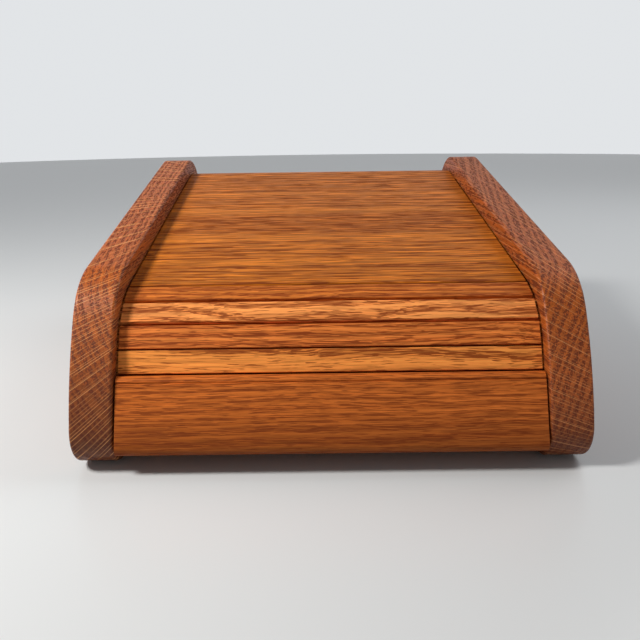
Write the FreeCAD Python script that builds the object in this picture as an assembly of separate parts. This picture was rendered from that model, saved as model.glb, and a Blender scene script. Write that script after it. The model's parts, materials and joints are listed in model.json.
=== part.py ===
import FreeCAD, Part

import os
from math import cos, hypot, pi, radians, sin, sqrt, tan

from FreeCAD import Vector

# Tambour lid box: two shaped side panels carry a bottom and a back board. Between them a lid of
# one wide board, four slats and a front rail, all glued to a strip of canvas, slides in stopped
# grooves: up the front, round the nose and back along the top slope.
#
# Frame: X across the box, Y from front to back, Z up. The origin is on the table, under the
# middle of the box. Profiles are drawn in (y, z) with y counted from the foremost point of the
# side panels, and are centred when they are extruded. The rail's toe stands out a little further.

# --- overall sizes, mm ---
width = 235.0                 # over the two side panels
depth = 281.5                 # front to back of a side panel
height = 126.5                # table to the highest point of a side panel

# --- side panel ---
side_thickness = 19.5
top_angle = 11.7              # slope of the top edge, degrees
rear_radius = 39.5            # upper rear corner
nose_radius = 39.5
nose_setback = 56.0           # centre of the nose arc behind the front
bow_radius = 187.0            # slightly bowed front edge
foot_radius = 16.0            # lower front corner
heel_radius = 8.0             # lower rear corner
edge_round = 1.5              # round-over along every outline edge

# --- felt pads under the side panels ---
pad_thickness = 1.5
pad_radius = 6.0
pad_inset = 30.0              # from the front and rear ends of a panel

# --- lid path: the outer surface of board and slats ---
reveal = 9.8                  # side panels stand this far above the lid
front_angle = 66.7            # front stretch of the path, degrees
path_foot = -3.3              # where the front stretch meets the table, from the front
path_radius = 38.0            # turn between the two straight stretches

# --- slats, canvas and wide board ---
slat_count = 4
slat_thickness = 4.5
slat_pitch = 11.2             # measured along the canvas
slat_gap = 0.4                # between slats, at the canvas
slat_round = 0.5              # outer long edges of a slat
canvas_thickness = 0.6
canvas_width = 180.0
canvas_tail = 18.0            # glued length under the wide board and behind the rail
board_thickness = 9.5
board_edge_round = 1.0
board_front_gap = 0.12        # wide board to the first slat, at the canvas
end_gap = 0.9                # lid to the inner face of a side panel, each side

# --- tongues on the ends of the lid pieces, and the grooves that guide them ---
tongue_set = 1.9              # outer face of a tongue behind the lid's outer surface
tongue_thickness = 2.2
groove_play = 1.7             # each side of a tongue, so that slats can tip round the nose
tongue_root = 1.0             # overlap with the piece that carries the tongue
groove_depth = 6.0
groove_end_gap = 0.6          # tongue end to groove bottom
slide_fit = 0.2               # wide board's tongue to the lower wall of the groove
travel = 40.0                 # lid travel between its two stops
stop_fit = 0.3                # tongue to groove end, at either stop
board_tongue_lead = 24.0      # tongue starts this far behind the board's front edge
board_tongue_length = 112.0

# --- front rail ---
rail_proud = 4.2              # face stands out from the slats
rail_back = 7.0               # back face behind the slats' outer surface
rail_lift = 9.7               # table to the lower edge
rail_tongue = 10.6            # length of the rail's tongues along the path
rail_top_slant = 0.4          # upper end falls away from the last slat towards the surface
rail_shoulder_radius = 3.0    # rounded upper edge
rail_quirk = 1.1              # width of the V-shaped line cut below the rounded edge
rail_toe_radius = 3.5         # rounded lower edge

# --- bottom and back boards ---
bottom_thickness = 9.0
bottom_lift = 6.0             # above the lower edge of the side panels
housing_depth = 5.0           # bottom board let into each side panel
housing_fit = 0.1
back_thickness = 15.0
back_clearance = 0.6          # back board to the underside of the lid
rail_clearance = 0.7          # bottom board to the back of the rail
dowel_radius = 3.0
dowel_length = 30.0
dowel_in_side = 12.0
dowel_heights = (28.0, 78.0)
dowel_fit = 0.05

# --- derived places, (y, z) from the front of the panels and the table ---
half_inside = width / 2 - side_thickness
slope = radians(top_angle)
front = radians(front_angle)
sole = pad_thickness          # lower edge of the side panels
rear_centre = (depth - rear_radius, height - rear_radius)
bottom_z = sole + bottom_lift
back_y = depth - reveal       # outer face of the back board


def along(angle):
    """Unit vector up a slope of this angle."""
    return cos(angle), sin(angle)


def inward(angle):
    """Unit vector square to a slope, pointing into the box."""
    return sin(angle), -cos(angle)


def move(point, direction, distance):
    return point[0] + direction[0] * distance, point[1] + direction[1] * distance


def toward(start, end):
    length = hypot(end[0] - start[0], end[1] - start[1])
    return (end[0] - start[0]) / length, (end[1] - start[1]) / length


def crossing(point_a, angle_a, point_b, angle_b):
    """Where two sloping lines meet."""
    da, db = along(angle_a), along(angle_b)
    gap = (point_b[0] - point_a[0], point_b[1] - point_a[1])
    turn = da[0] * db[1] - da[1] * db[0]
    return move(point_a, da, (gap[0] * db[1] - gap[1] * db[0]) / turn)


def circles_meet(centre_a, radius_a, centre_b, radius_b):
    """The crossing of two circles that lies further back."""
    dist = hypot(centre_b[0] - centre_a[0], centre_b[1] - centre_a[1])
    along_ab = (dist ** 2 + radius_a ** 2 - radius_b ** 2) / (2 * dist)
    off = sqrt(radius_a ** 2 - along_ab ** 2)
    unit = toward(centre_a, centre_b)
    foot = move(centre_a, unit, along_ab)
    return max(move(foot, (unit[1], -unit[0]), off), move(foot, (-unit[1], unit[0]), off))


def rail_toe():
    """The rail's rounded toe: its centre, its end on the face and its end on the sole."""
    face_foot = move(surface_foot, inward(front), -rail_proud)
    corner = crossing(face_foot, front, (0.0, rail_lift), 0.0)
    length = rail_toe_radius * tan((pi - front) / 2)
    on_face = move(corner, along(front), length)
    on_sole = (corner[0] + length, rail_lift)
    return move(on_face, inward(front), rail_toe_radius), on_face, on_sole


def middle():
    """Half way between the rail's toe and the rear of the side panels."""
    return (rail_toe()[0][0] - rail_toe_radius + depth) / 2


# --- outline drawing: each entry is a line's end point, or a pair (mid point, end point) ---
def yz(point, x=0.0):
    return Vector(x, point[0] - middle(), point[1])


def outline_face(start, steps, x):
    """A face in the plane x, from straight steps and arcs given by a mid and an end point."""
    edges, here = [], start
    for step in steps:
        if isinstance(step[0], tuple):
            through, end = step
            edges.append(Part.Arc(yz(here, x), yz(through, x), yz(end, x)).toShape())
        else:
            end = step
            edges.append(Part.LineSegment(yz(here, x), yz(end, x)).toShape())
        here = end
    return Part.Face(Part.Wire(edges))


def extruded(start, steps, x_from, x_to):
    return outline_face(start, steps, x_from).extrude(Vector(x_to - x_from, 0, 0))


def mid_arc(centre, start, end):
    """Middle point of the shorter arc from start to end."""
    radius = hypot(start[0] - centre[0], start[1] - centre[1])
    on_chord = ((start[0] + end[0]) / 2, (start[1] + end[1]) / 2)
    return move(centre, toward(centre, on_chord), radius)


def mirrored(shape):
    return shape.mirror(Vector(0, 0, 0), Vector(1, 0, 0))


def plate(upper, lower, near, far, x_from, x_to):
    """A flat strip whose faces lie near and far outside the line from upper to lower."""
    up = toward(lower, upper)
    out = (-up[1], up[0])
    start = move(upper, out, near)
    steps = [move(lower, out, near), move(lower, out, far), move(upper, out, far), start]
    return extruded(start, steps, x_from, x_to)


def tongues(upper, lower, thickness):
    """The tongues on both ends of a lid piece, between two points of its canvas side."""
    far = slat_thickness - tongue_set
    near = far - thickness
    start = half_inside - end_gap - tongue_root
    end = half_inside + groove_depth - groove_end_gap
    tongue = plate(upper, lower, near, far, start, end)
    return [tongue, mirrored(tongue)]


# --- the lid path ---
surface_rear = move(rear_centre, inward(slope), reveal - rear_radius)
surface_foot = (path_foot, 0.0)
surface_corner = crossing(surface_rear, slope, surface_foot, front)
turn_length = path_radius * tan((front - slope) / 2)
turn_top = move(surface_corner, along(slope), turn_length)
turn_centre = move(turn_top, inward(slope), path_radius)


def lid_corner(below):
    """Where a line parallel to the top slope, this far below the lid's surface, meets the
    rounded rear end of the lid."""
    nose = rear_radius - reveal
    rise = nose - below
    reach = sqrt(nose ** 2 - rise ** 2)
    return move(move(rear_centre, inward(slope), -rise), along(slope), reach)


def path_point(run, inside=0.0):
    """A point on the curve that lies this far inside the lid's outer surface. The run is
    measured along that curve, downwards, from the start of the turn."""
    radius = path_radius - inside
    turned = min(max(run / radius, 0.0), front - slope)
    angle = slope + turned
    straight = run - turned * radius
    on_turn = move(turn_centre, inward(angle), -radius)
    return move(on_turn, along(angle), -straight)


def slat_ends(index):
    """Canvas-side corners of a slat, upper one first."""
    run = board_front_gap + index * slat_pitch
    upper = path_point(run, slat_thickness)
    lower = path_point(run + slat_pitch, slat_thickness)
    up = toward(lower, upper)
    return move(upper, up, -slat_gap / 2), move(lower, up, slat_gap / 2)


# --- side panels ---
def panel_outline():
    """Side panel: foot, bowed front, nose, straight slope and rear corner, all tangent."""
    foot_centre = (foot_radius, sole + foot_radius)
    heel_centre = (depth - heel_radius, sole + heel_radius)
    rear_top = move(rear_centre, inward(slope), -rear_radius)
    nose_line = move(rear_top, inward(slope), nose_radius)
    nose_run = (nose_setback - nose_line[0]) / cos(slope)
    nose_centre = move(nose_line, along(slope), nose_run)
    nose_top = move(nose_centre, inward(slope), -nose_radius)
    bow_centre = circles_meet(foot_centre, bow_radius - foot_radius,
                              nose_centre, bow_radius - nose_radius)
    nose_front = move(bow_centre, toward(bow_centre, nose_centre), bow_radius)
    bow_foot = move(bow_centre, toward(bow_centre, foot_centre), bow_radius)
    foot_sole = (foot_radius, sole)
    heel_sole = (depth - heel_radius, sole)
    heel_back = (depth, sole + heel_radius)
    rear_back = (depth, rear_centre[1])
    return foot_sole, [
        (mid_arc(foot_centre, foot_sole, bow_foot), bow_foot),
        (mid_arc(bow_centre, bow_foot, nose_front), nose_front),
        (mid_arc(nose_centre, nose_front, nose_top), nose_top),
        rear_top,
        (mid_arc(rear_centre, rear_top, rear_back), rear_back),
        heel_back,
        (mid_arc(heel_centre, heel_back, heel_sole), heel_sole),
        foot_sole,
    ]


def groove_outline():
    """Stopped groove: parallel to the lid path, with round ends as a cutter leaves them."""
    above = tongue_set - groove_play
    below = tongue_set + tongue_thickness + groove_play
    top_run = -board_tongue_lead - board_tongue_length - travel - stop_fit
    low_run = rail_tongue_end() + stop_fit
    arc_out, arc_in = path_radius - above, path_radius - below
    outer_low = offset_point(low_run, above)
    inner_low = offset_point(low_run, below)
    outer_high = offset_point(top_run, above)
    inner_high = offset_point(top_run, below)
    half = (below - above) / 2
    end_low = move(offset_point(low_run, (above + below) / 2), along(front), -half)
    end_high = move(offset_point(top_run, (above + below) / 2), along(slope), half)
    outer_turn = (move(turn_centre, inward(slope), -arc_out),
                  move(turn_centre, inward(front), -arc_out))
    inner_turn = (move(turn_centre, inward(front), -arc_in),
                  move(turn_centre, inward(slope), -arc_in))
    return outer_high, [
        outer_turn[0],
        (mid_arc(turn_centre, *outer_turn), outer_turn[1]),
        outer_low,
        (end_low, inner_low),
        inner_turn[0],
        (mid_arc(turn_centre, *inner_turn), inner_turn[1]),
        inner_high,
        (end_high, outer_high),
    ]


def offset_point(surface_run, inside):
    """A point square to the outer surface, at a run measured along that surface."""
    turned = min(max(surface_run / path_radius, 0.0), front - slope)
    angle = slope + turned
    straight = surface_run - turned * path_radius
    on_turn = move(turn_centre, inward(angle), inside - path_radius)
    return move(on_turn, along(angle), -straight)


def rail_start():
    """Run along the outer surface at which the rail begins."""
    canvas_run = board_front_gap + slat_count * slat_pitch + slat_gap / 2
    turn_run = (path_radius - slat_thickness) * (front - slope)
    return canvas_run - turn_run + path_radius * (front - slope)


def rail_tongue_end():
    return rail_start() + rail_tongue


def round_outline_edges(solid, planes, radius):
    """Round every edge that lies in one of the planes x = value."""
    edges = [edge for edge in solid.Edges
             if any(all(abs(v.X - x) < 1e-6 for v in edge.Vertexes) for x in planes)]
    return solid.makeFillet(radius, edges)


def dowel_places():
    point_y = back_y - back_thickness / 2
    return [yz((point_y, z), half_inside + dowel_in_side - dowel_length)
            for z in dowel_heights]


def side_panel():
    """Right-hand panel with its groove, the housing for the bottom board and dowel holes."""
    outer = half_inside + side_thickness
    start, steps = panel_outline()
    panel = extruded(start, steps, half_inside, outer)
    panel = round_outline_edges(panel, (half_inside, outer), edge_round)
    start, steps = groove_outline()
    groove = extruded(start, steps, half_inside - edge_round, half_inside + groove_depth)
    start, steps = bottom_outline(housing_fit)
    housing = extruded(start, steps, half_inside - edge_round, half_inside + housing_depth)
    holes = [Part.makeCylinder(dowel_radius + dowel_fit, dowel_length + dowel_fit, place,
                               Vector(1, 0, 0)) for place in dowel_places()]
    return panel.cut(groove).cut(housing).cut(holes)


# --- bottom and back boards ---
def bottom_outline(grow=0.0):
    """Bottom board, its front edge bevelled to lie along the back of the rail."""
    low, high = bottom_z - grow, bottom_z + bottom_thickness + grow
    back_line = move(surface_foot, inward(front), rail_back + rail_clearance - grow)
    front_low = crossing(back_line, front, (0.0, low), 0.0)
    front_high = crossing(back_line, front, (0.0, high), 0.0)
    rear = back_y - back_thickness + grow
    return front_low, [front_high, (rear, high), (rear, low), front_low]


def bottom_board():
    start, steps = bottom_outline()
    reach = half_inside + housing_depth - housing_fit
    return extruded(start, steps, -reach, reach)


def back_board():
    """Back board: its upper edge is bevelled to the underside of the lid, and rounded over to
    carry on the curve of the lid's rear end."""
    corner = lid_corner(board_thickness + back_clearance)
    inner = back_y - back_thickness
    top_inner = crossing(corner, slope, (inner, 0.0), pi / 2)
    curve_foot = (back_y, rear_centre[1])
    board = extruded((inner, bottom_z), [
        top_inner, corner, (mid_arc(rear_centre, corner, curve_foot), curve_foot),
        (back_y, bottom_z), (inner, bottom_z)], -half_inside, half_inside)
    holes = [Part.makeCylinder(dowel_radius + dowel_fit, dowel_length + dowel_fit,
                               place - Vector(dowel_fit, 0, 0), Vector(1, 0, 0))
             for place in dowel_places()]
    return board.cut(holes + [mirrored(hole) for hole in holes])


def dowels():
    """The two dowels that pin the back board to the right-hand panel."""
    return Part.makeCompound([Part.makeCylinder(dowel_radius, dowel_length, place,
                                                Vector(1, 0, 0)) for place in dowel_places()])


# --- lid ---
def wide_board():
    """Wide top board: rounded rear nose, a rabbet under its front for the canvas, and a
    tongue on each end that stops short, so that the rear can slide out over the back."""
    corner = turn_top
    lip = move(corner, inward(slope), slat_thickness)
    lip_rear = move(lip, along(slope), canvas_tail)
    step_rear = move(corner, inward(slope), board_thickness)
    step_rear = move(step_rear, along(slope), canvas_tail + board_thickness - slat_thickness)
    under_rear = lid_corner(board_thickness)
    side = half_inside - end_gap
    board = extruded(lip, [lip_rear, step_rear, under_rear,
                           (mid_arc(rear_centre, under_rear, surface_rear), surface_rear),
                           corner, lip], -side, side)
    sharp = [edge for edge in board.Edges
             if (edge.CenterOfMass - yz(corner)).Length < 1e-6]
    board = board.makeFillet(board_edge_round, sharp)
    first = move(lip, along(slope), board_tongue_lead)
    last = move(first, along(slope), board_tongue_length)
    thickness = tongue_thickness + groove_play - slide_fit
    return board.fuse(tongues(last, first, thickness)).removeSplitter()


def slat(index):
    """One slat: its ends run in the grooves, and its outer long edges are eased."""
    upper, lower = slat_ends(index)
    side = half_inside - end_gap
    body = plate(upper, lower, 0.0, slat_thickness, -side, side)
    up = toward(lower, upper)
    skin = [yz(move(point, (-up[1], up[0]), slat_thickness)) for point in (upper, lower)]
    outer = [edge for edge in body.Edges
             if any((edge.CenterOfMass - point).Length < 1e-6 for point in skin)]
    body = body.makeFillet(slat_round, outer)
    return body.fuse(tongues(upper, lower, tongue_thickness)).removeSplitter()


def front_rail():
    """Front rail: thicker than the slats, with a rounded shoulder and toe. Its tongues run in
    the grooves, and the face part clears the side panels."""
    start_run = rail_start()
    top_skin = offset_point(start_run + rail_top_slant, 0.0)
    top_back = offset_point(start_run, slat_thickness)
    rabbet_top = move(top_back, along(front), -canvas_tail)
    rabbet_low = move(move(rabbet_top, inward(front), rail_back - slat_thickness),
                      along(front), slat_thickness - rail_back)
    back_low = crossing(rabbet_low, front, (0.0, rail_lift), 0.0)
    face_line = move(top_skin, inward(front), -rail_proud)
    toe_centre, toe_face, toe_sole = rail_toe()
    # shoulder rounded to the face, and the V-shaped line that parts it from the face
    shoulder_high = move(face_line, inward(front), rail_shoulder_radius)
    shoulder_low = move(face_line, along(front), -rail_shoulder_radius)
    shoulder_centre = move(shoulder_low, inward(front), rail_shoulder_radius)
    quirk_low = move(shoulder_low, along(front), -rail_quirk)
    quirk_floor = move(move(shoulder_low, along(front), -rail_quirk / 2),
                       inward(front), rail_quirk / 2)
    side = half_inside - end_gap
    body = extruded(top_skin, [
        top_back, rabbet_top, rabbet_low, back_low, toe_sole,
        (mid_arc(toe_centre, toe_sole, toe_face), toe_face),
        quirk_low, quirk_floor, shoulder_low,
        (mid_arc(shoulder_centre, shoulder_low, shoulder_high), shoulder_high),
        top_skin], -side, side)
    tongue_low = move(top_back, along(front), -rail_tongue)
    return body.fuse(tongues(top_back, tongue_low, tongue_thickness)).removeSplitter()


def canvas_strip(upper, lower):
    """Canvas glued flat on the inner side of one lid piece, between two points."""
    side = canvas_width / 2
    return plate(upper, lower, -canvas_thickness, 0.0, -side, side)


def canvas_under_board():
    lip = move(turn_top, inward(slope), slat_thickness)
    return canvas_strip(move(lip, along(slope), canvas_tail), lip)


def canvas_on_slat(index):
    return canvas_strip(*slat_ends(index))


def canvas_on_rail():
    top = offset_point(rail_start(), slat_thickness)
    return canvas_strip(top, move(top, along(front), -canvas_tail))


# --- felt pads ---
def pad(y):
    """Felt pad under the right-hand panel."""
    return Part.makeCylinder(pad_radius, pad_thickness, yz((y, 0), width / 2 - side_thickness / 2))


def build():
    parts = {
        "right_side": side_panel(),
        "bottom_board": bottom_board(),
        "back_board": back_board(),
        "right_dowels": dowels(),
        "top_board": wide_board(),
        "front_rail": front_rail(),
        "canvas_under_board": canvas_under_board(),
        "canvas_on_rail": canvas_on_rail(),
        "right_front_pad": pad(pad_inset),
        "right_rear_pad": pad(depth - pad_inset),
    }
    for index in range(slat_count):
        parts["slat_%d" % (index + 1)] = slat(index)
        parts["canvas_on_slat_%d" % (index + 1)] = canvas_on_slat(index)
    for name in [name for name in parts if name.startswith("right_")]:
        parts[name.replace("right_", "left_")] = mirrored(parts[name])
    return parts


os.makedirs("parts", exist_ok=True)
for name, shape in build().items():
    shape.exportStep("parts/%s.step" % name)
    print("%-22s solids %d  valid %s  volume %.1f" % (name, len(shape.Solids), shape.isValid(),
                                                    shape.Volume))
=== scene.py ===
import json
from math import radians

import bpy
from mathutils import Matrix, Vector

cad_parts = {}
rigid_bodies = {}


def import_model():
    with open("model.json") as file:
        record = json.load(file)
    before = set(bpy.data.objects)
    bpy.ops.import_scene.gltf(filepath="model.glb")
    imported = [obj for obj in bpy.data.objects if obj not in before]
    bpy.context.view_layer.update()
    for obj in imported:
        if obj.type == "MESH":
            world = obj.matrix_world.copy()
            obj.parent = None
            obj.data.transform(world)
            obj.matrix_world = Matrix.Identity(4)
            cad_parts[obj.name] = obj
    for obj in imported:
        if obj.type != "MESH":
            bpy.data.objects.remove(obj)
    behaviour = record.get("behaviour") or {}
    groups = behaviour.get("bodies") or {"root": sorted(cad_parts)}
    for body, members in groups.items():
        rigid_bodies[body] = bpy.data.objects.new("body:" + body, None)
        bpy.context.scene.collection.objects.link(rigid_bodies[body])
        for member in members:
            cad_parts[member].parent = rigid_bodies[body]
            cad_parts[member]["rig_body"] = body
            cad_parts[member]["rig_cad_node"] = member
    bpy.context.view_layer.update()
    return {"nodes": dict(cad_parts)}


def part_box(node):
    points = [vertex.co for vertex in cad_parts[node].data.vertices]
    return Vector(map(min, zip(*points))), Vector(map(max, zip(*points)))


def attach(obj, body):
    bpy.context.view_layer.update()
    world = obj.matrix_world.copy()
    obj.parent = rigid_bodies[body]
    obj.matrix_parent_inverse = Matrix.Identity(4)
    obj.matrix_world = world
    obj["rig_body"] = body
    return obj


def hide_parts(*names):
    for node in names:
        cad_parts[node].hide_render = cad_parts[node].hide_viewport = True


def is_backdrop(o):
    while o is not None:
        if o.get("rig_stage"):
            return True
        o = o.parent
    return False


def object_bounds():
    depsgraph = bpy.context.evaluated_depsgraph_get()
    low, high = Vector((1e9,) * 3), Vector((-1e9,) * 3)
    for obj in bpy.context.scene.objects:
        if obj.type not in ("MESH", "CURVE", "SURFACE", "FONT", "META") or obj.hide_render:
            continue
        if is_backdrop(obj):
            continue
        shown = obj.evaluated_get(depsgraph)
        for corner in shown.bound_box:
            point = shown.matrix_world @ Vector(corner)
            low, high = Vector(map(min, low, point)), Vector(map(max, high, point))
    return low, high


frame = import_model()


# --- left side panel ---
# A shaped plank of red oak, sawn to the sloping outline, rounded over and oiled. Its grain runs
# from front to back, so its front edge and nose show end grain: rows of dark pores, crossed by
# pale rays that fan out from the heart of the log, about 104 mm to the right of the plank.

cad = frame["nodes"]
mm = 0.001                                  # everything is placed in metres


def add(tree, kind, settings=None, **inputs):
    """A node with its settings. Each input, by its name or as in0, in1, gets a value or socket."""
    made = tree.nodes.new("ShaderNode" + kind)
    for key, value in (settings or {}).items():
        setattr(made, key, value)
    for key, value in inputs.items():
        numbered = key.startswith("in") and key[2:].isdigit()
        socket = made.inputs[int(key[2:]) if numbered else key.replace("_", " ")]
        if isinstance(value, bpy.types.NodeSocket):
            tree.links.new(value, socket)
        else:
            socket.default_value = value
    return made


def calculate(tree, operation, *values):
    inputs = {"in%d" % place: value for place, value in enumerate(values)}
    return add(tree, "Math", {"operation": operation}, **inputs).outputs[0]


def calculate_place(tree, operation, place, by):
    return add(tree, "VectorMath", {"operation": operation}, in0=place, in1=by).outputs[0]


def between(tree, value, low, high, to_low=0.0, to_high=1.0):
    """Where the value lies from low to high, eased, as a place from to_low to to_high."""
    return add(tree, "MapRange", {"interpolation_type": "SMOOTHSTEP"}, in0=value, in1=low,
               in2=high, in3=to_low, in4=to_high).outputs[0]


def blended(tree, share, below, above):
    return add(tree, "Mix", {"data_type": "RGBA"}, in0=share, in6=below, in7=above).outputs[2]


def cloudy(tree, point, cell, detail=1.0):
    """Soft noise whose cells have this size along X, Y and Z, as a shade and as a colour."""
    finer = calculate_place(tree, "MULTIPLY", point, tuple(1 / size for size in cell))
    noise = add(tree, "TexNoise", None, Vector=finer, Scale=1.0, Detail=detail)
    return noise.outputs["Fac"], noise.outputs["Color"]


def blank(name):
    """A material with nothing in it yet, and its tree of nodes."""
    material = bpy.data.materials.new(name)
    material.use_nodes = True
    material.node_tree.nodes.clear()
    return material, material.node_tree


def surfaced(tree, **finish):
    surface = add(tree, "BsdfPrincipled", None, **finish)
    add(tree, "OutputMaterial", None, Surface=surface.outputs[0])


def wandering(tree, log, wander):
    """Places in the log, moved across the grain in long waves and in short ones."""
    long_wave, short_wave = (90.0, 30.0, 30.0), (12.0, 4.0, 4.0)
    middle = (0.5, 0.5, 0.5)
    point = log
    for wave, sway in ((long_wave, 8 * wander), (short_wave, wander)):
        drift = calculate_place(tree, "SUBTRACT", cloudy(tree, log, wave)[1], middle)
        drift = calculate_place(tree, "MULTIPLY", drift, (0.0, sway, sway))
        point = calculate_place(tree, "ADD", point, drift)
    return point


def early_wood(tree, reach, ring):
    """1 in the open band with which each year begins, on rings of uneven width."""
    opening, fading = (0.0, 0.2), (0.9, 0.4)
    uneven = add(tree, "TexNoise", {"noise_dimensions": "1D"}, W=reach, Scale=1 / (3 * ring),
                 Detail=1.0).outputs["Fac"]
    years = calculate(tree, "MULTIPLY_ADD", uneven, 2.0, calculate(tree, "DIVIDE", reach, ring))
    season = calculate(tree, "FRACT", years)
    return calculate(tree, "MULTIPLY", between(tree, season, *opening),
                     between(tree, season, *fading))


def pale_rays(tree, log, along, reach, radius, step, width):
    """1 on the rays, thin sheets that stand on the rings, some of them faint or broken."""
    unbroken_along, unbroken_out = 10.0, 30.0
    gap, whole = 0.25, 0.5
    faintest = 0.3
    straight = add(tree, "SeparateXYZ", None, Vector=log).outputs
    angle = calculate(tree, "ARCTAN2", straight[2], straight[1])
    fan = calculate(tree, "MULTIPLY", angle, radius / step)
    sheets = add(tree, "TexVoronoi", {"voronoi_dimensions": "1D"}, W=fan, Scale=1.0)
    sheet = between(tree, sheets.outputs["Distance"], width, 0.3 * width)
    vigour = add(tree, "SeparateColor", None, Color=sheets.outputs["Color"]).outputs[0]
    spot = add(tree, "CombineXYZ", None, X=along, Y=fan, Z=reach).outputs[0]
    run = cloudy(tree, spot, (unbroken_along, 1.0, unbroken_out))[0]
    strength = calculate(tree, "MULTIPLY", between(tree, run, gap, whole),
                         between(tree, vigour, 0.0, 1.0, faintest, 1.0))
    return calculate(tree, "MULTIPLY", sheet, strength)


def oak(name, heart, turn, radius, late, early, pore, ray, pore_length, pore_width,
        pore_cut=0.6, pore_band=0.16, pore_dark=0.85, ring=3.5, wander=0.3, ray_step=1.9,
        ray_width=0.1, ray_light=0.2, streak=0.15, fibre=0.2, painted_shade_below=None, roughness=0.4,
        shine=0.1, bump=0.3):
    """Oiled oak from a log whose heart passes through a point. Its X, turned from the box's,
    runs along the grain, and Y and Z across it. All lengths are in millimetres.
    radius: about how far the piece lies from the heart.
    late, early, pore, ray: the colours of late wood, early wood, pores and rays.
    pore_length, pore_width: a pore's size. One opens where the noise passes pore_cut, more
        easily by pore_band in early wood, and takes on its colour by the share pore_dark.
    ring, wander: the width of a year, and how far its line strays.
    ray_step, ray_width: how far apart the rays are at the radius, and half their width as a
        share of that. They take on their colour by the share ray_light.
    streak, fibre: how much lighter and darker the broad streaks and the fine fibres are.
    painted_shade_below: painted shade, the share by which the wood is darker near the table,
    and from where to where up the box that fades.
    roughness, shine, bump: of the surface between the pores, which are rougher."""
    pore_edge = 0.07
    early_dark = 0.5
    streak_size, fibre_size = (70.0, 1.8, 1.8), (25.0, 0.8, 0.8)
    dull, bright = 0.3, 0.7
    relief_depth = 0.25 * mm
    pore_roughness = 0.25

    material, tree = blank(name)
    place = add(tree, "TexCoord").outputs["Object"]
    log = add(tree, "Mapping", {"vector_type": "TEXTURE"}, Vector=place, Rotation=turn,
              Location=tuple(part * mm for part in heart), Scale=(mm, mm, mm)).outputs[0]
    point = wandering(tree, log, wander)
    along, across, up = add(tree, "SeparateXYZ", None, Vector=point).outputs
    # how far each place lies from the heart
    reach = calculate(tree, "SQRT", calculate(tree, "MULTIPLY_ADD", across, across,
                                              calculate(tree, "MULTIPLY", up, up)))
    band = early_wood(tree, reach, ring)
    pores = cloudy(tree, point, (pore_length, pore_width, pore_width))[0]
    pores = calculate(tree, "MULTIPLY_ADD", band, pore_band, pores)
    pores = between(tree, pores, pore_cut, pore_cut + pore_edge)
    rays = pale_rays(tree, log, along, reach, radius, ray_step, ray_width)
    tone = cloudy(tree, point, streak_size, detail=3.0)[0]
    thread = cloudy(tree, point, fibre_size, detail=3.0)[0]
    shade = calculate(tree, "MULTIPLY", between(tree, tone, dull, bright, 1 - streak, 1 + streak),
                      between(tree, thread, dull, bright, 1 - fibre, 1 + fibre))
    # painted shade: the wood is painted darker towards the table, where less light reaches it
    if painted_shade_below:
        darker, foot, top = painted_shade_below
        lift = add(tree, "SeparateXYZ", None, Vector=place).outputs[2]
        shade = calculate(tree, "MULTIPLY", shade,
                          between(tree, lift, foot * mm, top * mm, 1 - darker, 1.0))
    early_share = calculate(tree, "MULTIPLY", band, early_dark)
    ground = blended(tree, early_share, late + (1,), early + (1,))
    ground = add(tree, "VectorMath", {"operation": "SCALE"}, Vector=ground, Scale=shade).outputs[0]
    colour = blended(tree, calculate(tree, "MULTIPLY", pores, pore_dark), ground, pore + (1,))
    colour = blended(tree, calculate(tree, "MULTIPLY", rays, ray_light), colour, ray + (1,))
    relief = calculate(tree, "MULTIPLY_ADD", pores, -1.0, thread)
    normal = add(tree, "Bump", None, Strength=bump, Distance=relief_depth,
                 Height=relief).outputs[0]
    rough = calculate(tree, "MULTIPLY_ADD", pores, pore_roughness, roughness)
    surfaced(tree, Base_Color=colour, Roughness=rough, Normal=normal, Specular_IOR_Level=shine)
    return material


def dress(node, material):
    for slot in cad[node].material_slots:
        slot.material = material


front_to_back = (0.0, 0.0, radians(90))
# painted shade: the panel is painted darker towards the table, most of all at its foot
left_oak = oak("oak_left_side", heart=(-3, 0, 113), turn=front_to_back, radius=104.0,
               late=(0.45, 0.105, 0.017), early=(0.33, 0.06, 0.011), pore=(0.10, 0.017, 0.005),
               ray=(0.95, 0.43, 0.15), pore_length=6.0, pore_width=0.75, pore_dark=0.75,
               ray_step=1.15, ray_width=0.12, ray_light=0.7, painted_shade_below=(0.72, 8.0, 82.0), shine=0.28)
dress("left_side", left_oak)


# --- right side panel ---
# The other plank, sawn, rounded over and oiled in the same way, but from a different log. Its
# heart lies low and outside, so the rays fall towards the outside on the front edge, and run
# into long streaks on the sloping top.

# painted shade: the panel is painted darker towards the table, most of all at its foot
right_oak = oak("oak_right_side", heart=(307, 30, -45), turn=front_to_back, radius=230.0,
                late=(0.42, 0.096, 0.014), early=(0.29, 0.053, 0.009), pore=(0.10, 0.017, 0.005),
                ray=(0.80, 0.34, 0.12), pore_length=6.0, pore_width=0.75, pore_dark=0.75,
                ray_step=1.7, ray_light=0.7, painted_shade_below=(0.66, 0.0, 50.0), shine=0.28)
dress("right_side", right_oak)


# --- bottom board, back board and dowels ---
# Plain oiled oak with its grain from side to side. The bottom is let into grooves in the side
# panels. The back closes its rear edge, and is pinned to each panel by two beech dowels.

side_to_side = (0.0, 0.0, 0.0)
case_oak = oak("oak_case", heart=(0, 20, -90), turn=side_to_side, radius=110.0,
               late=(0.44, 0.125, 0.02), early=(0.32, 0.075, 0.011), pore=(0.14, 0.028, 0.006),
               ray=(0.6, 0.2, 0.035), pore_length=18.0, pore_width=0.7, pore_band=0.14,
               pore_dark=0.7, ring=3.2, wander=0.6, roughness=0.45)
dress("bottom_board", case_oak)
dress("back_board", case_oak)

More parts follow.
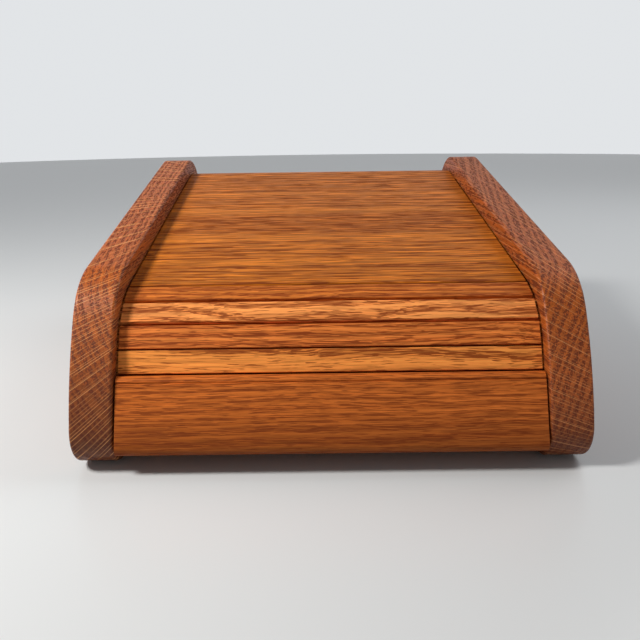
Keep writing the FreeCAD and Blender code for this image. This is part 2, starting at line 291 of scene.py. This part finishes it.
# beech is paler than oak, with much finer pores
beech = oak("dowel_wood", heart=(0, 100, -60), turn=side_to_side, radius=60.0,
            late=(0.62, 0.42, 0.24), early=(0.57, 0.38, 0.21), pore=(0.4, 0.25, 0.14),
            ray=(0.66, 0.46, 0.28), pore_length=3.0, pore_width=0.3, pore_cut=0.66,
            pore_band=0.18, pore_dark=0.3, ray_light=0.3, roughness=0.6, bump=0.1)
dress("left_dowels", beech)
dress("right_dowels", beech)


# --- felt pads ---
# Four discs of black wool felt, punched out and glued under the panels. The weight of the box
# has pressed their cut rims a little round.

def felt():
    tuft_scale = 1400.0                     # tufts of about 0.7 mm
    shadow, tip = (0.02, 0.02, 0.023, 1), (0.06, 0.06, 0.066, 1)
    material, tree = blank("felt")
    place = add(tree, "TexCoord").outputs["Object"]
    fluff = add(tree, "TexNoise", None, Vector=place, Scale=tuft_scale, Detail=4.0).outputs["Fac"]
    colour = blended(tree, fluff, shadow, tip)
    normal = add(tree, "Bump", None, Strength=0.6, Distance=0.2 * mm, Height=fluff).outputs[0]
    surfaced(tree, Base_Color=colour, Roughness=0.95, Sheen_Weight=0.4, Normal=normal)
    return material


pad_felt = felt()
rim_round = 0.35 * mm
for pad_node in ("left_front_pad", "right_front_pad", "left_rear_pad", "right_rear_pad"):
    low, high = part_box(pad_node)
    bpy.ops.object.select_all(action="DESELECT")
    bpy.ops.mesh.primitive_cylinder_add(vertices=48, radius=(high.x - low.x) / 2,
                                        depth=high.z - low.z, location=(low + high) / 2)
    pad = bpy.context.object
    pad.name = pad_node.replace("_pad", "_felt_pad")
    bpy.ops.object.transform_apply(location=True, rotation=True, scale=True)
    rim = pad.modifiers.new("pressed_rim", "BEVEL")
    rim.width = rim_round
    rim.segments = 3
    bpy.ops.object.modifier_apply(modifier=rim.name)
    bpy.ops.object.shade_smooth_by_angle(angle=radians(40))
    pad.data.materials.append(pad_felt)
    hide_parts(pad_node)
    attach(pad, "box")


# --- wide board of the lid ---
# One plain-sawn board of red oak, planed and oiled, with its grain from side to side. It lies
# on the slope between the panels, and only its tongues, out of sight, run in their grooves.

slope = radians(11.7)
board_oak = oak("oak_top", heart=(120, 12, -5), turn=(slope, 0.0, radians(0.4)), radius=95.0,
                late=(0.57, 0.166, 0.0145), early=(0.42, 0.103, 0.0078), pore=(0.17, 0.03, 0.005),
                ray=(0.74, 0.24, 0.035), pore_length=20.0, pore_width=0.75, pore_cut=0.59,
                pore_band=0.12, ring=2.8, wander=0.45, streak=0.24, fibre=0.4)
dress("top_board", board_oak)


# --- slats ---
# Four narrow strips, each from its own piece of oak, so that light and reddish ones alternate.
# They turn the corner of the lid on their canvas, and their outer long edges are eased.

slat_looks = (
    # node, late wood, early wood, heart of its log
    ("slat_1", (0.64, 0.18, 0.03), (0.46, 0.10, 0.016), (40, -112, 10)),
    ("slat_2", (0.97, 0.345, 0.09), (0.72, 0.185, 0.036), (-60, -88, 0)),
    ("slat_3", (0.78, 0.215, 0.042), (0.60, 0.125, 0.02), (90, -100, -10)),
    ("slat_4", (0.92, 0.31, 0.062), (0.68, 0.175, 0.025), (-20, -78, 4)),
)
for slat_node, late, early, heart in slat_looks:
    slat_oak = oak("oak_" + slat_node, heart, turn=(radians(35), 0.0, radians(0.6)), radius=70.0,
                   late=late, early=early, pore=(0.22, 0.036, 0.006), ray=(0.85, 0.36, 0.08),
                   pore_length=12.0, pore_width=0.45, pore_band=0.17, ring=2.6, wander=0.9)
    dress(slat_node, slat_oak)


# --- front rail ---
# A thicker, redder rail that closes the front. Its upper arris is worked to a round shoulder and
# its lower one is eased. The face is nearly quarter-sawn, with fine straight pores all over.

# painted shade, together with the real darker wood along its foot: the rail is painted darker
# towards the table
rail_oak = oak("oak_rail", heart=(-40, -218, 20), turn=(radians(66.7), 0.0, radians(0.3)),
               radius=80.0, late=(0.64, 0.16, 0.026), early=(0.50, 0.11, 0.016),
               pore=(0.16, 0.026, 0.005), ray=(0.66, 0.19, 0.03), pore_length=10.0,
               pore_width=0.36, pore_cut=0.56, pore_band=0.1, pore_dark=0.7, ring=1.6,
               streak=0.08, painted_shade_below=(0.6, 9.0, 34.0))
dress("front_rail", rail_oak)


# --- canvas of the lid ---
# One strip of cotton canvas is glued along the inner side of board, slats and rail, and hinges
# them. Each length between two joints is a piece of its own, so that it follows its slat.

def canvas_cloth():
    """Undyed cotton in a plain weave, drawn on the flat strip, in millimetres."""
    weave_scale = 0.55                      # a thread every 0.57 mm
    slub_scale = 0.35                       # thick places about 3 mm apart
    hollow, crown = (0.30, 0.24, 0.16, 1), (0.66, 0.57, 0.42, 1)
    material, tree = blank("canvas")
    cloth = add(tree, "UVMap", {"uv_map": "cut"}).outputs[0]
    warp, weft = (add(tree, "TexWave", {"wave_type": "BANDS", "bands_direction": way},
                      Vector=cloth, Scale=weave_scale, Distortion=0.6, Detail=1.0).outputs["Fac"]
                  for way in ("X", "Y"))
    weave = calculate(tree, "MULTIPLY", warp, weft)
    slub = add(tree, "TexNoise", None, Vector=cloth, Scale=slub_scale, Detail=3.0).outputs["Fac"]
    tint = calculate(tree, "MULTIPLY_ADD", slub, 0.5, calculate(tree, "MULTIPLY", weave, 0.6))
    colour = blended(tree, tint, hollow, crown)
    normal = add(tree, "Bump", None, Strength=0.7, Distance=0.15 * mm, Height=weave).outputs[0]
    surfaced(tree, Base_Color=colour, Roughness=0.9, Sheen_Weight=0.2, Normal=normal)
    return material


cotton = canvas_cloth()
same_corner = 0.001 * mm
canvas_places = (
    # node, the piece that it is glued to, the body that both ride on
    ("canvas_under_board", "top_board", "lid_board"),
    ("canvas_on_slat_1", "slat_1", "lid_slat_1"),
    ("canvas_on_slat_2", "slat_2", "lid_slat_2"),
    ("canvas_on_slat_3", "slat_3", "lid_slat_3"),
    ("canvas_on_slat_4", "slat_4", "lid_slat_4"),
    ("canvas_on_rail", "front_rail", "lid_rail"),
)
for canvas_node, carrier, body in canvas_places:
    bpy.ops.object.select_all(action="DESELECT")
    cad[canvas_node].select_set(True)
    bpy.context.view_layer.objects.active = cad[canvas_node]
    bpy.ops.object.duplicate()
    strip = bpy.context.object
    strip.name = canvas_node.replace("canvas", "canvas_strip")
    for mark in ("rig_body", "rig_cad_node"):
        del strip[mark]
    strip.parent = None
    bpy.ops.object.mode_set(mode="EDIT")
    bpy.ops.mesh.select_all(action="SELECT")
    bpy.ops.mesh.remove_doubles(threshold=same_corner)
    bpy.ops.mesh.tris_convert_to_quads()
    bpy.ops.mesh.subdivide(number_cuts=15)
    bpy.ops.object.mode_set(mode="OBJECT")
    # the cloth's own measure, across the box and from the strip's foot up to its head
    spots = [vertex.co.copy() for vertex in strip.data.vertices]
    foot = min(spots, key=lambda spot: (round(spot.z, 6), spot.y))
    head = max(spots, key=lambda spot: (round(spot.z, 6), -spot.y))
    run = Vector((0.0, head.y - foot.y, head.z - foot.z)).normalized()
    cut = strip.data.uv_layers.new(name="cut")
    for loop in strip.data.loops:
        spot = spots[loop.vertex_index]
        cut.data[loop.index].uv = (spot.x / mm, (spot - foot).dot(run) / mm)
    strip.data.materials.clear()
    strip.data.materials.append(cotton)
    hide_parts(canvas_node)
    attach(strip, body)


# --- floor ---
# A plain pale floor, painted and slightly polished. It takes the shadow of the box and a faint
# image of it, and isn't part of the object.

floor_paint, paint = blank("floor_paint")
surfaced(paint, Base_Color=(0.77, 0.785, 0.79, 1), Roughness=0.28, Specular_IOR_Level=0.5)
bpy.ops.object.select_all(action="DESELECT")
bpy.ops.mesh.primitive_circle_add(vertices=96, radius=3.0, fill_type="NGON")
floor = bpy.context.object
floor.name = "floor"
floor.data.materials.append(floor_paint)
floor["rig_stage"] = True


# --- light ---
# A small soft lamp high on the left throws the left panel's shadow on the lid. A large one on
# the right lights the right panel, and a weak low one in front the rail. The room adds a weak
# even light, and looks pale all round and darker overhead.

def lamp(name, aimed_at, towards, distance, width, watts, colour):
    """A round lamp that shines on a spot, from this far away in this direction."""
    data = bpy.data.lights.new(name, "AREA")
    data.shape = "DISK"
    data.size = width
    data.energy = watts
    data.color = colour
    made = bpy.data.objects.new(name, data)
    bpy.context.scene.collection.objects.link(made)
    direction = Vector(towards).normalized()
    made.location = aimed_at + direction * distance
    made.rotation_mode = "QUATERNION"
    made.rotation_quaternion = direction.to_track_quat("Z", "Y")


warm, cool = (1.0, 0.98, 0.95), (0.97, 0.98, 1.0)
box_middle = Vector((0.0, 0.0, 60 * mm))
left_of_nose = Vector((-90 * mm, -80 * mm, 70 * mm))
lamp("high_left", left_of_nose, towards=(-1.0, -0.44, 1.2), distance=0.7, width=0.17, watts=5.1,
     colour=warm)
lamp("right", box_middle, towards=(0.8, 0.3, 0.85), distance=1.2, width=0.8, watts=3.7,
     colour=cool)
lamp("front_right", box_middle, towards=(0.5, -1.0, 0.35), distance=1.4, width=0.9, watts=0.6,
     colour=cool)

room = bpy.data.worlds.new("room")
bpy.context.scene.world = room
room.use_nodes = True
sky = room.node_tree
sky.nodes.clear()
pale_up_to, dark_above = 0.45, 0.65         # sines of the heights in the sky, 27 and 41 degrees
pale, dark = 1.0, 0.1
height = add(sky, "SeparateXYZ", None, Vector=add(sky, "TexCoord").outputs["Generated"]).outputs[2]
lit = add(sky, "Background", None, Color=(0.95, 0.98, 1.0, 1), Strength=0.17)
seen = add(sky, "Background", None, Color=(0.76, 0.78, 0.80, 1),
           Strength=between(sky, height, pale_up_to, dark_above, pale, dark))
rays = add(sky, "LightPath").outputs
sharp = calculate(sky, "MAXIMUM", rays["Is Camera Ray"],
                  calculate(sky, "MAXIMUM", rays["Is Glossy Ray"], rays["Is Transmission Ray"]))
both = add(sky, "MixShader", None, in0=sharp, in1=lit.outputs[0], in2=seen.outputs[0])
add(sky, "OutputWorld", None, Surface=both.outputs[0])
bpy.context.scene.view_settings.view_transform = "Standard"


# --- camera ---
# It stands in front of the box, a little left of its middle and a little above it, close enough
# for the panels to open out towards it, and looks down on the lid.

camera_data = bpy.data.cameras.new("camera")
camera_data.sensor_width = 36.0
camera_data.lens = 36.12
camera_data.shift_x = 0.01625
camera_data.shift_y = 0.0003
camera_data.clip_start = 0.01
camera = bpy.data.objects.new("camera", camera_data)
bpy.context.scene.collection.objects.link(camera)
look_down, swing, lean = radians(17.01), radians(0.141), radians(-0.783)
stand = Matrix.Translation(Vector((-8.4, -398.3, 151.9)) * mm)
camera.matrix_world = (stand @ Matrix.Rotation(swing, 4, "Z")
                       @ Matrix.Rotation(radians(90) - look_down, 4, "X")
                       @ Matrix.Rotation(lean, 4, "Z"))
bpy.context.scene.camera = camera


# --- size ---
# The box that the finished object fills, with the floor left out.

low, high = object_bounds()
